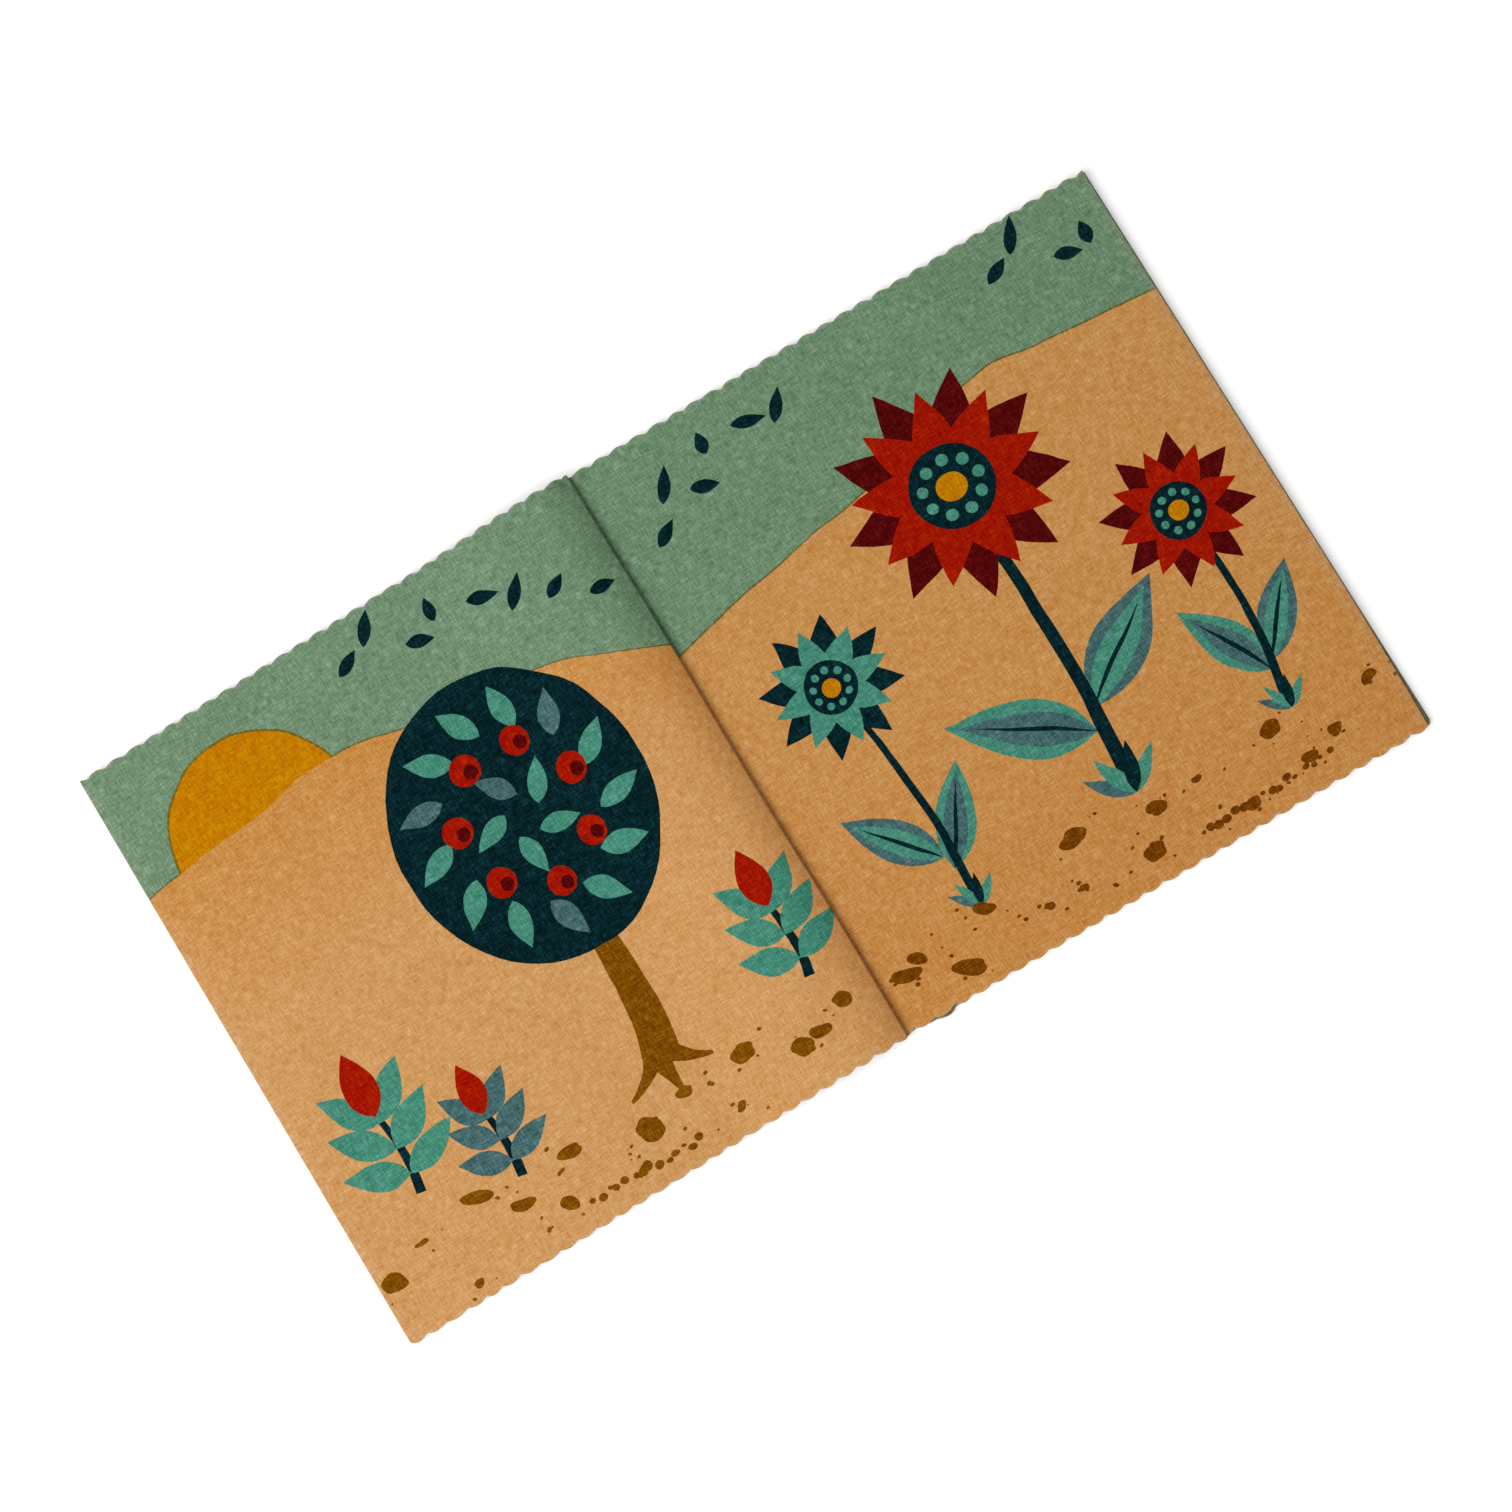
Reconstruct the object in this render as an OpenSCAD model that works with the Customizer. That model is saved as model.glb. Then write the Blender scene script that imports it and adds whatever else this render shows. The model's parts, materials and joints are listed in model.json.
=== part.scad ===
// Cloth book, lying open at a spread. Every leaf is cloth folded double at its fore-edge, with
// pinked top and bottom edges. The leaves are sewn through along the spine. The right-hand leaves
// lie flat, and the left-hand pages roll up from the seam before they lie flat.
// X runs along the spread, Y up the page and Z up from the table. Sizes are in millimetres.

/* [Leaves] */
// Width of a leaf, from the spine seam to the fold at its fore-edge
page_w = 165; // [140:1:190]
// Height of a leaf over the tips of its pinked edges
page_h = 180; // [140:1:210]
// Thickness of a folded leaf
leaf_t = 0.9; // [0.8:0.05:1.2]
// Slack between the two plies of a leaf
ply_slack = 0.1; // [0.06:0.01:0.16]
// Page leaves on each side of the spread, above the cover
page_leaves = 2; // [1:1:3]
// How far each right-hand leaf reaches past the one on top of it
creep = 0.45; // [0:0.05:0.6]
// How much lower a cut edge lies at the fore-edge than at the spine
edge_fall = 1.9; // [0:0.1:4]

/* [Pinked edges] */
// Length of one scallop
pink_pitch = 6; // [4:0.5:9]
// Depth of a scallop
pink_depth = 1; // [0.6:0.1:2]
// How far the scallops of each leaf are shifted from those of the next
pink_shift = 0; // [0:0.25:3]
// Radius of the outer corners
corner_r = 1.6; // [0.8:0.1:3]

/* [Roll of the left-hand pages] */
// Height of the crest over the flat page
roll_h = 5.5; // [4:0.1:7]
// Distance from the edge of the roll to its crest
crest_d = 15.5; // [12:0.5:20]
// Distance from the edge of the roll to where the page lies flat
flat_d = 55; // [45:1:75]
// Height of the edge of the roll over the right-hand page
edge_lift = 0.9; // [0.7:0.1:1.4]
// Distance over which the edge of the roll is rounded
lip_d = 0.8; // [0.6:0.1:1.4]
// Height of that rounding
lip_h = 0.5; // [0.3:0.1:0.9]
// How far the edge of the roll hangs past the seam
overhang = 0.4; // [0:0.1:0.6]
// Width of the left-hand leaves that the roll takes up
take_up = 6; // [3:0.1:9]

/* [Spine] */
// Cloth between the seam and the fold where the left-hand leaves turn
seam_margin = 1.2; // [0.9:0.1:2]
// Clearance between the left-hand and right-hand leaves
turn_gap = 0.4; // [0.3:0.05:0.6]
// Length of one stitch
stitch_l = 4; // [3:0.25:6]
// Thickness of the sewing thread
thread_d = 0.6; // [0.4:0.05:0.7]
// Thickness of the thread where it goes through the cloth
leg_d = 0.46; // [0.3:0.02:0.5]
// Gap between one stitch and the next
stitch_gap = 0.3; // [0.2:0.05:0.5]
// Room round the thread in its needle holes and in the seam's furrow
thread_room = 0.05; // [0.03:0.01:0.1]

/* [Hidden] */

pages_t = page_leaves * leaf_t;
stack_t = leaf_t + pages_t;
fold_r = leaf_t / 2;
ply_t = (leaf_t - ply_slack) / 2;

left_reach = page_w - take_up;
right_reach = page_w + page_leaves * creep;
turn_d = seam_margin + turn_gap;
undercut = turn_d + overhang;
edge_z = stack_t + edge_lift;
crest_z = stack_t + roll_h;
// The undercut curves down to just over the seam, and the pages then stand on the cover.
undercut_z = stack_t + turn_gap;

// The middle of the book's box, which goes over the origin
mid_x = (right_reach - left_reach) / 2;
mid_y = -edge_fall * right_reach / page_w / 2;

// Steps of the curves
arc_steps = 6;
lip_steps = 4;
roll_steps = 10;
pink_steps = 4;
thread_sides = 8;

seam_l = page_h - 4 * pink_depth;
stitches = floor(seam_l / stitch_l);
first_stitch = -stitches * stitch_l / 2;
hole_d = leg_d + 2 * thread_room;
furrow_w = thread_d + 2 * thread_room;
// The thread bites half its thickness into the page, and right into the cover underneath.
top_thread_z = stack_t;
low_thread_z = furrow_w / 2;

function reverse(list) = [for (i = [len(list) - 1 : -1 : 0]) list[i]];

// Half circle of radius r round the point [x, z], from its top over the right to its bottom
function fold_arc(x, z, r) =
    [for (i = [0 : arc_steps]) [x + r * sin(180 * i / arc_steps), z + r * cos(180 * i / arc_steps)]];

// Section of a folded leaf. The four runs go from the spine to the fold, along the outside and
// the inside of the upper ply and then along the inside and the outside of the lower ply.
function folded(upper_out, upper_in, lower_in, lower_out, fold_x, fold_z) = concat(
    upper_out,
    fold_arc(fold_x, fold_z, fold_r),
    reverse(lower_out),
    lower_in,
    reverse(fold_arc(fold_x, fold_z, ply_slack / 2)),
    reverse(upper_in)
);

function flat_run(spine_x, fold_x, z) = [[spine_x, z], [fold_x, z]];

// Section of a leaf that lies flat with its underside at height z
function flat_leaf(spine_x, reach, z) =
    let (fold_x = reach - fold_r)
    folded(
        flat_run(spine_x, fold_x, z + leaf_t),
        flat_run(spine_x, fold_x, z + leaf_t - ply_t),
        flat_run(spine_x, fold_x, z + ply_t),
        flat_run(spine_x, fold_x, z),
        fold_x,
        z + fold_r
    );

// Rise of the page from the edge of the roll, where share is 0, to its crest, where share is 1.
// The edge is rounded, and from there the page bends evenly to the crest.
function roll_rise(share, height) =
    let (
        bend = 1 - share,
        short_of_lip = max(0, 1 - share * crest_d / lip_d)
    )
    lip_h * sqrt(1 - short_of_lip * short_of_lip) + (height - lip_h) * (1 - bend * bend);

// Shares of the way to the crest at which the curve has its points, closer together at the edge
lip_shares = [for (i = [0 : lip_steps - 1]) lip_d / crest_d * (1 - cos(90 * i / lip_steps))];
bend_shares = [for (i = [0 : roll_steps]) lip_d / crest_d + (1 - lip_d / crest_d) * i / roll_steps];

// A surface of the rolled pages, as deep under the topmost one as depth says. It stands on the
// cover, curves out under the edge of the roll, turns over the crest and comes down to lie flat.
// Distances run from the edge of the roll towards the fore-edge.
function rolled_run(depth, fold_d) = concat(
    [[depth + undercut, leaf_t]],
    [for (i = [arc_steps : -1 : 1])
        let (a = 90 * i / arc_steps)
        [depth + undercut * (1 - cos(a)), edge_z - (edge_z - undercut_z) * sin(a)]],
    [for (share = concat(lip_shares, bend_shares))
        [depth + (crest_d - depth) * share, edge_z + roll_rise(share, crest_z - edge_z - depth)]],
    [for (i = [1 : roll_steps])
        let (t = i / roll_steps)
        [crest_d + (flat_d - crest_d) * t, stack_t - depth + roll_h * (1 + cos(180 * t)) / 2]],
    [[fold_d, stack_t - depth]]
);

// Section of a rolled leaf whose upper side is depth under the topmost page
function rolled_leaf(depth) =
    let (fold_d = left_reach + overhang - fold_r)
    folded(
        rolled_run(depth, fold_d),
        rolled_run(depth + ply_t, fold_d),
        rolled_run(depth + leaf_t - ply_t, fold_d),
        rolled_run(depth + leaf_t, fold_d),
        fold_d,
        stack_t - depth - fold_r
    );

// How far a pinked edge lies inside its tips at the distance x from the seam
function pinked_in(x, reach, shift) =
    let (past = max(0, x - reach + corner_r))
    pink_depth * (1 - abs(sin(180 * (x + shift) / pink_pitch)))
        + corner_r - sqrt(corner_r * corner_r - past * past);

// Outline of a leaf, pinked along the top and the bottom
function leaf_outline(spine_x, reach, shift) =
    let (
        steps = ceil((reach - spine_x) / pink_pitch * pink_steps),
        xs = [for (i = [0 : steps]) spine_x + (reach - spine_x) * i / steps]
    )
    concat(
        [for (x = xs) [x, page_h / 2 - edge_fall * x / page_w - pinked_in(x, reach, shift)]],
        [for (x = reverse(xs)) [x, -page_h / 2 - edge_fall * x / page_w + pinked_in(x, reach, shift)]]
    );

// Cuts a leaf of the given section to its outline
module cut_leaf(section, spine_x, reach, shift) {
    intersection() {
        rotate([90, 0, 0]) linear_extrude(height = 2 * page_h, center = true) polygon(section);
        linear_extrude(height = 2 * crest_z) polygon(leaf_outline(spine_x, reach, shift));
    }
}

module right_leaf(level) {
    reach = right_reach - level * creep;
    cut_leaf(flat_leaf(-seam_margin, reach, level * leaf_t), -seam_margin, reach, level * pink_shift);
}

// Furrow that the tight thread draws along the seam, from the height z upwards
module seam_furrow(z, height) {
    translate([-furrow_w / 2, first_stitch - furrow_w, z])
        cube([furrow_w, stitches * stitch_l + 2 * furrow_w, height]);
}

module needle_holes() {
    for (i = [0 : stitches - 1])
        translate([0, first_stitch + i * stitch_l + leg_d / 2, -leaf_t])
            cylinder(d = hole_d, h = stack_t + 2 * leaf_t, $fn = thread_sides);
}

// One length of thread along the seam, thinner at its ends where it goes into the cloth
module thread_bar() {
    bar_l = stitch_l - stitch_gap;
    end_l = thread_d / 2;
    rotate([-90, 0, 0]) {
        cylinder(d = leg_d, h = bar_l, $fn = thread_sides);
        translate([0, 0, end_l]) cylinder(d = thread_d, h = bar_l - 2 * end_l, $fn = thread_sides);
    }
}

module stitch() {
    translate([0, 0, top_thread_z]) thread_bar();
    translate([0, 0, low_thread_z]) thread_bar();
    translate([0, leg_d / 2, low_thread_z])
        cylinder(d = leg_d, h = top_thread_z - low_thread_z, $fn = thread_sides);
}

// Puts a piece that is drawn round the seam where it belongs over the origin
module place() {
    translate([-mid_x, -mid_y, 0]) children();
}

module back_cover() {
    color("darkslategray") place() difference() {
        right_leaf(0);
        seam_furrow(-leaf_t, leaf_t + furrow_w);
        needle_holes();
    }
}

module right_pages() {
    color("peru") place() difference() {
        for (level = [1 : page_leaves]) right_leaf(level);
        seam_furrow(top_thread_z - furrow_w / 2, leaf_t);
        needle_holes();
    }
}

module spine_stitching() {
    color("tan") place()
        for (i = [0 : stitches - 1]) translate([0, first_stitch + i * stitch_l, 0]) stitch();
}

module front_cover() {
    color("darkslategray") place() mirror([1, 0, 0])
        cut_leaf(flat_leaf(turn_d, left_reach, 0), turn_d, left_reach, 0);
}

module left_pages() {
    color("burlywood") place() mirror([1, 0, 0]) translate([-overhang, 0, 0])
        for (level = [1 : page_leaves])
            cut_leaf(
                rolled_leaf((page_leaves - level) * leaf_t),
                0,
                left_reach + overhang,
                level * pink_shift
            );
}

back_cover();
right_pages();
spine_stitching();
front_cover();
left_pages();
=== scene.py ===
# %% [markdown]
# # A cloth book, dressed
# The frame holds the book as it was constructed: two covers, two sets of pages and the stitching
# along the spine. This lesson puts real sheets of cloth in the place of the covers and pages. Each
# sheet is cut flat with pinked edges, printed, folded double and laid where its solid lies.

# %% Load the frame
import bisect
import json
import math
import random

import bmesh
import bpy
from mathutils import Matrix, Vector, noise
from mathutils.geometry import delaunay_2d_cdt


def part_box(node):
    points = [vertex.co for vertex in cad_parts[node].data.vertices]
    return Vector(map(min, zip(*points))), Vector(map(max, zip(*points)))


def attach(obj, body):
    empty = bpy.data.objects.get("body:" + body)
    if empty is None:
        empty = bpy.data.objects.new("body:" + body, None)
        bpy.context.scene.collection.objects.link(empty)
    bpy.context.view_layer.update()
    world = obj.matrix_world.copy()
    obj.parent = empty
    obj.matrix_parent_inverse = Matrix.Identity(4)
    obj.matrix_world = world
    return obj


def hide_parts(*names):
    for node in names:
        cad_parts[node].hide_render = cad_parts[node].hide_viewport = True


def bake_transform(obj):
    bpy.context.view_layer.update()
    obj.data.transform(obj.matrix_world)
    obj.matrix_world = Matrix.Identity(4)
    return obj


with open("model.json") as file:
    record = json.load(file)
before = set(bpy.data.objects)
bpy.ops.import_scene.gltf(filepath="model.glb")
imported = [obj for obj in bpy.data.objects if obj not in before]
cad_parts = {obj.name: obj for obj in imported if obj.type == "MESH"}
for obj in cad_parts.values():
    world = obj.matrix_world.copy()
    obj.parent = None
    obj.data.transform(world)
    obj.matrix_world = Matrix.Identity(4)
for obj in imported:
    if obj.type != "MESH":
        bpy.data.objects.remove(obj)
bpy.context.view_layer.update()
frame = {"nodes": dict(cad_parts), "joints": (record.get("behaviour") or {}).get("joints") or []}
print("pieces in the frame:", sorted(frame["nodes"]))

# %% [markdown]
# ## Sizes
# Cloth is cut in millimetres, so every size here is in millimetres, and a point becomes metres
# only when it goes into a mesh. Sizes that the solids show are read from their boxes, so the cloth
# can't drift away from them. Distances across the book are counted from the spine seam. The cloth
# over the roll has settled a little under the crest of its solid.

# %% Read the sizes of the leaves
MM = 0.001
seam_x = frame["joints"][0]["pos_m"][0] / MM
cover_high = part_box("back_cover")[1] / MM
pages_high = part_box("right_pages")[1] / MM
roll_low, roll_high = [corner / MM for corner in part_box("left_pages")]

leaf_t = cover_high.z
stack_t = pages_high.z
settle = 1.0
crest_z = roll_high.z - settle
right_reach = cover_high.x - seam_x
creep = cover_high.x - pages_high.x
left_reach = seam_x - roll_low.x
ply_t = 0.4
page_w = 165.0
page_h = 180.0
edge_fall = 1.9
seam_y = edge_fall * right_reach / page_w / 2
print(f"leaf {leaf_t:.2f} mm, stack {stack_t:.2f} mm, crest {crest_z:.2f} mm")
print(f"reach left {left_reach:.1f} mm, right {right_reach:.1f} mm, creep {creep:.2f} mm")

# %% [markdown]
# ## How the cloth runs
# Seen from the bottom edge of the book, a folded leaf is a long thin loop that is open at the
# spine: out along the upper ply, round the fold at the fore-edge, and back along the lower ply.
# A course is the outer face of that loop as a list of points, across and up. A flat grid could be
# bent with modifiers instead, but a list of points also gives the exact length of the cloth. The
# right-hand leaves lie flat. The cover is one long course that runs under both halves, with more
# points at the spine, where it bends when the book is closed.

# %% Straight runs and folds
flat_step = 4.0
fold_steps = 8


def straight(start, end, step):
    run = end[0] - start[0]
    rise = end[1] - start[1]
    count = max(1, math.ceil(abs(run) / step))
    return [(start[0] + run * i / count, start[1] + rise * i / count) for i in range(count)]


def fold_turn(x, z, side):
    radius = leaf_t / 2
    angles = [math.pi * i / fold_steps for i in range(fold_steps + 1)]
    return [(x + side * radius * math.sin(a), z + radius * math.cos(a)) for a in angles]


def course_lengths(course):
    lengths = [0.0]
    for (x0, z0), (x1, z1) in zip(course, course[1:]):
        lengths.append(lengths[-1] + math.hypot(x1 - x0, z1 - z0))
    return lengths


# %% Courses of the flat leaves and of the cover
low_leaf = 1
top_leaf = 2
seam_margin = 1.2
turn_d = 1.6
spine_step = 0.3
spine_zone = 6.0


def flat_course(level, more):
    low = level * leaf_t
    fold_x = right_reach - level * creep + more - leaf_t / 2
    upper = straight((-seam_margin, low + leaf_t), (fold_x, low + leaf_t), flat_step)
    lower = straight((-seam_margin, low), (fold_x, low), flat_step)
    return upper + fold_turn(fold_x, low + leaf_t / 2, 1) + lower[::-1]


def cover_course():
    left_fold = -left_reach + leaf_t / 2
    right_fold = right_reach - leaf_t / 2
    left_upper = straight((-turn_d, leaf_t), (left_fold, leaf_t), flat_step)
    left_turn = fold_turn(left_fold, leaf_t / 2, -1)
    under_left = straight((left_fold, 0), (-spine_zone, 0), flat_step)[1:]
    under_spine = straight((-spine_zone, 0), (0, 0), spine_step)
    under_right = straight((0, 0), (right_fold, 0), flat_step)
    right_turn = fold_turn(right_fold, leaf_t / 2, 1)[::-1]
    right_upper = straight((-seam_margin, leaf_t), (right_fold, leaf_t), flat_step)[::-1]
    return left_upper + left_turn + under_left + under_spine + under_right + right_turn + right_upper


right_top_course = flat_course(top_leaf, more=0.25)
right_low_course = flat_course(low_leaf, more=0.05)
cover_run = cover_course()
print(f"cloth of the right-hand leaves: {course_lengths(right_top_course)[-1]:.1f} mm on top,",
      f"{course_lengths(right_low_course)[-1]:.1f} mm below")
print(f"cloth of the cover: {course_lengths(cover_run)[-1]:.1f} mm")

# %% [markdown]
# ## The roll at the gutter
# The seam holds the inner ends of the left-hand leaves down, so they can't lie flat at once. They
# rise from the seam, roll over a crest and come down. A cloth simulation could drape them, but the
# height of the roll has to follow its solid, so the curve is drawn: a rounded lip, a rise that
# bends most near the lip, and a long fall. The top page has a tighter lip, and its inner end goes
# down into the seam. The other faces stand on the cover.

# %% Rise of the roll
crest_d = 15.5
crest_bend = 3.4
flat_d = 55.0
roll_h = crest_z - stack_t
# How far the rounding of the lip reaches, how high it is, and the height where it starts
plain_lip = (0.8, 0.5, stack_t + 0.9)
top_lip = (0.35, 0.8, stack_t + 1.2)


def roll_rise(share, height, lip_d, lip_h):
    short_of_lip = max(0, 1 - share * crest_d / lip_d)
    rounding = lip_h * math.sqrt(1 - short_of_lip ** 2)
    return rounding + (height - lip_h) * (1 - (1 - share) ** crest_bend)


# %% A face of the rolled leaves
overhang = 0.4
undercut = 2.0
undercut_z = stack_t + 0.4
nose_steps = 10
lip_steps = 8
rise_steps = 34
rise_crowding = 1.4
fall_steps = 30


def rolled_face(depth, nose_angle, lip):
    lip_d, lip_h, edge_z = lip
    lip_share = lip_d / crest_d
    nose = [math.radians(nose_angle * i / nose_steps) for i in range(nose_steps, 0, -1)]
    rounding = [lip_share * (1 - math.cos(math.pi * i / (2 * lip_steps))) for i in range(lip_steps)]
    crowded = [(i / rise_steps) ** rise_crowding for i in range(rise_steps + 1)]
    rising = [lip_share + (1 - lip_share) * part for part in crowded]
    rise = crest_z - edge_z - depth
    face = []
    for a in nose:
        drop = (edge_z - undercut_z) * math.sin(a)
        face.append((depth + undercut * (1 - math.cos(a)), edge_z - drop))
    for share in rounding + rising:
        face.append((depth + (crest_d - depth) * share, edge_z + roll_rise(share, rise, lip_d, lip_h)))
    for i in range(1, fall_steps + 1):
        t = i / fall_steps
        height = roll_h * (1 + math.cos(math.pi * t)) / 2
        face.append((crest_d + (flat_d - crest_d) * t, stack_t - depth + height))
    fold_d = left_reach + overhang - leaf_t / 2
    face += straight(face[-1], (fold_d, face[-1][1]), flat_step)[1:]
    return [(overhang - d, z) for d, z in face]


# %% Courses of the rolled leaves
standing = 90
tucked = 60
tuck = (-0.75, stack_t + 0.08)


def rolled_course(level):
    depth = (top_leaf - level) * leaf_t
    fold_x = -left_reach + leaf_t / 2
    foot = (overhang - depth - undercut, leaf_t)
    upper = [foot] + rolled_face(depth, standing, plain_lip)
    if level == top_leaf:
        upper = [tuck] + rolled_face(depth, tucked, top_lip)
    low_foot = (overhang - depth - leaf_t - undercut, leaf_t)
    lower = [low_foot] + rolled_face(depth + leaf_t, standing, plain_lip)
    return upper + fold_turn(fold_x, stack_t - depth - leaf_t / 2, -1) + lower[::-1]


left_top_course = rolled_course(top_leaf)
left_low_course = rolled_course(low_leaf)
print(f"cloth of the left-hand leaves: {course_lengths(left_top_course)[-1]:.1f} mm on top,",
      f"{course_lengths(left_low_course)[-1]:.1f} mm below")

# %% [markdown]
# ## Pinked edges
# Pinking blades cut a row of scallops so that woven cloth doesn't fray. A hand-guided blade never
# bites quite evenly, so the depth and the spacing wander a little along the edge. A Displace
# modifier could ripple a straight edge, but here the scallops are part of the cut outline, so they
# stay sharp. The leaves of each half are pinked together, so their scallops line up. The bottom
# edge has a notch at the fold and the top edge has a tip there. The bottom corners are slightly
# round, and the whole edge leans a little, as it does on the real book.

# %% Shape of the pinked edges
pink_pitch = 6.0
pink_depth = 0.95
notch_round = 0.012
low_notch = 0.0
high_notch = 2.6
depth_wander = 0.6
depth_wander_l = 8
notch_drift = 0.9
notch_drift_l = 14
drift_row = 5


def bite(from_fold, seed, corner_r, first_notch):
    wander = 1 + depth_wander * noise.noise(Vector((from_fold / depth_wander_l, seed, 0)))
    drift = notch_drift * noise.noise(Vector((from_fold / notch_drift_l, seed, drift_row)))
    phase = math.pi * (from_fold - first_notch + drift) / pink_pitch
    past = max(0, corner_r - from_fold)
    rounding = corner_r - math.sqrt(corner_r ** 2 - past ** 2)
    return pink_depth * wander * (1 - math.sqrt(math.sin(phase) ** 2 + notch_round)) + rounding


print(f"{page_w / pink_pitch:.0f} scallops along each cut edge of a leaf")

# %% [markdown]
# ## Inks
# The cloth is printed with a small set of matte colours. They are written as they look on screen,
# from 0 to 255, and turned into the linear values that Blender's shaders work in. The fields fade
# from one ink to another over a part of the page, so their ink depends on the height.

# %% Mix the inks
inks = {
    "sage": (118, 147, 117),
    "deep sage": (114, 145, 114),
    "ochre": (203, 140, 67),
    "sand": (210, 156, 97),
    "clay": (203, 142, 76),
    "straw": (206, 149, 85),
    "sun": (198, 127, 0),
    "sun rim": (122, 104, 30),
    "navy": (4, 36, 41),
    "turquoise": (73, 142, 121),
    "slate": (72, 107, 108),
    "red": (163, 22, 0),
    "maroon": (85, 5, 6),
    "brown": (127, 77, 2),
    "umber": (117, 63, 1),
    "olive": (112, 106, 62),
    "cover": (58, 88, 74),
}


def linear(name):
    shares = [value / 255 for value in inks[name]]
    return [s / 12.92 if s <= 0.04045 else ((s + 0.055) / 1.055) ** 2.4 for s in shares] + [1.0]


# The ink at the bottom, the ink at the top, and the heights between which one fades to the other
fades = {
    "left field": ("sand", "ochre", 95, 155),
    "right field": ("clay", "straw", 10, 90),
}


def ink_at(name, y):
    if name not in fades:
        return linear(name)
    low_ink, high_ink, start, end = fades[name]
    share = min(max((y - start) / (end - start), 0), 1)
    return [low + (high - low) * share for low, high in zip(linear(low_ink), linear(high_ink))]


print(len(inks), "inks and", len(fades), "fades")

# %% [markdown]
# ## Shapes for the print
# The print is made of flat shapes with crisp edges. Each shape is an outline on the page, in
# millimetres from the page's left side and bottom edge. They could be painted into an image, but
# outlines that are cut into the mesh stay crisp at any distance and need no picture file. Shapes
# that are cut by hand are never quite true, so a slow and a quick wobble go over every outline.

# %% Round shapes
blot_steps = 36
blot_ragged = 0.5
blot_scale = 0.8
blot_row = 0.5


def turned(outline, x, y, degrees):
    c = math.cos(math.radians(degrees))
    s = math.sin(math.radians(degrees))
    return [(x + u * c - v * s, y + u * s + v * c) for u, v in outline]


def disc(x, y, rx, ry, turn=0, steps=36):
    angles = [2 * math.pi * i / steps for i in range(steps)]
    return turned([(rx * math.cos(a), ry * math.sin(a)) for a in angles], x, y, turn)


def blot(x, y, rx, ry, turn, seed):
    outline = []
    for i in range(blot_steps):
        a = 2 * math.pi * i / blot_steps
        around = Vector((blot_scale * math.cos(a), blot_scale * math.sin(a), seed + blot_row))
        ragged = 1 + blot_ragged * noise.noise(around)
        outline.append((rx * ragged * math.cos(a), ry * ragged * math.sin(a)))
    return turned(outline, x, y, turn)


# %% Leaves and stalks
leaf_steps = 12
leaf_belly = 0.8
stalk_steps = 14


def leaf(x, y, length, width, heading):
    shares = [i / leaf_steps for i in range(leaf_steps + 1)]
    upper = [(length * t, width / 2 * math.sin(math.pi * t ** leaf_belly)) for t in shares]
    lower = [(u, -v) for u, v in upper[-2:0:-1]]
    return turned(upper + lower, x, y, heading)


def along_bend(start, bend, end, t):
    x = (1 - t) ** 2 * start[0] + 2 * t * (1 - t) * bend[0] + t * t * end[0]
    y = (1 - t) ** 2 * start[1] + 2 * t * (1 - t) * bend[1] + t * t * end[1]
    return x, y


def stalk(start, bend, end, width_0, width_1):
    left = []
    right = []
    for i in range(stalk_steps + 1):
        t = i / stalk_steps
        x, y = along_bend(start, bend, end, t)
        dx = (1 - t) * (bend[0] - start[0]) + t * (end[0] - bend[0])
        dy = (1 - t) * (bend[1] - start[1]) + t * (end[1] - bend[1])
        half = (width_0 + (width_1 - width_0) * t) / 2 / math.hypot(dx, dy)
        left.append((x - dy * half, y + dx * half))
        right.append((x + dy * half, y - dx * half))
    return left + right[::-1]


# %% Fields
field_w = 172.0
field_past = 5.0
field_foot = -8.0
field_steps = 60
field_humps = 6


def field(heights, waves, seed, lap=0.0):
    top = []
    for i in range(field_steps + 1):
        t = i / field_steps
        place = t * (len(heights) - 1)
        k = min(int(place), len(heights) - 2)
        part = place - k
        part = part * part * (3 - 2 * part)
        x = t * (field_w + 2 * field_past) - field_past
        y = heights[k] + (heights[k + 1] - heights[k]) * part + lap
        top.append((x, y + waves * noise.noise(Vector((t * field_humps, seed, 0)))))
    return [(-field_past, field_foot), (field_w + field_past, field_foot)] + top[::-1]


# %% Leaves on the wind
drift_w = 3.8
drift_l = 9
drift_l_change = 2
drift_l_step = 1.7
drift_bob = 3
drift_bob_step = 2.1
drift_heading = 30
drift_turn = 55
drift_turn_step = 2.6


def drifting(start, bend, end, count):
    leaves = []
    for i in range(count):
        x, y = along_bend(start, bend, end, (i + 0.5) / count)
        bob = drift_bob * math.sin(i * drift_bob_step)
        length = drift_l + drift_l_change * math.sin(i * drift_l_step)
        heading = drift_heading + drift_turn * math.sin(i * drift_turn_step)
        leaves.append(("navy", leaf(x, y + bob, length, drift_w, heading)))
    return leaves


# %% The wobble of a hand-cut outline
slow_wobble = 0.6
slow_wobble_l = 11
slow_rows = (31.5, 33.5)
quick_wobble = 0.14
quick_wobble_l = 2.8
quick_rows = (47.5, 49.5)


def by_hand(outline):
    cut = []
    for x, y in outline:
        slow_x, slow_y = [noise.noise(Vector((x / slow_wobble_l, y / slow_wobble_l, row)))
                          for row in slow_rows]
        quick_x, quick_y = [noise.noise(Vector((x / quick_wobble_l, y / quick_wobble_l, row)))
                            for row in quick_rows]
        cut_x = x + slow_wobble * slow_x + quick_wobble * quick_x
        cut_y = y + slow_wobble * slow_y + quick_wobble * quick_y
        cut.append((cut_x, cut_y))
    return cut


print("outlines to draw with: disc, blot, leaf, stalk and field")

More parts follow.
